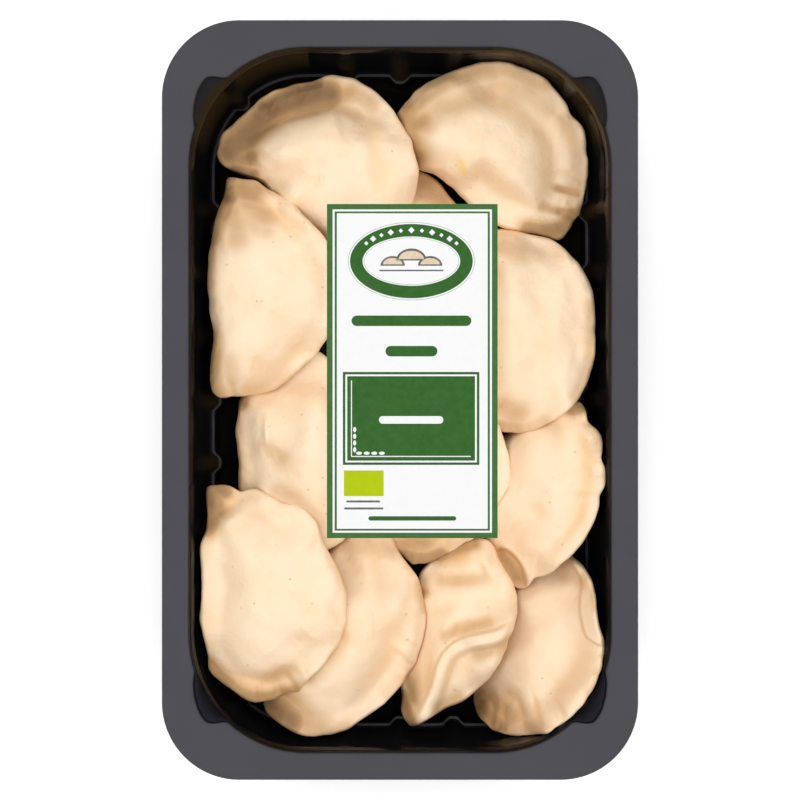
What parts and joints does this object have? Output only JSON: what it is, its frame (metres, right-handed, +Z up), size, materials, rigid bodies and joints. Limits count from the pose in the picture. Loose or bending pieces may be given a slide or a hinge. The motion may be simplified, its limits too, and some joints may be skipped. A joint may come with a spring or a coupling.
{
  "type": "sealed tray of pierogi dumplings",
  "caption": "Black thermoformed tray of filled half-moon dumplings, lying over each other, under a clear sealed top film with a rectangular paper label.",
  "frame": {"origin": "centre of the tray's underside, on the surface it stands on", "axes": "+Z up through the film, +Y along the pack's length, +X across its width"},
  "size_m": [0.163, 0.26, 0.042],
  "materials": {
    "tray": "glossy black thermoformed sheet",
    "dough": "matte cooked wheat dough, pale cream",
    "film": "thin clear lidding film, grey and satin where it is sealed to the flange",
    "label": "printed paper, white with green fields"
  },
  "bodies": {
    "root": {"tray": "tray", "dumpling_03": "dough", "dumpling_12": "dough", "dumpling_08": "dough", "dumpling_05": "dough", "dumpling_11": "dough", "dumpling_02": "dough", "dumpling_07": "dough", "dumpling_10": "dough", "dumpling_01": "dough", "dumpling_06": "dough", "dumpling_09": "dough", "dumpling_04": "dough", "film": "film", "label": "label"}
  },
  "joints": []
}
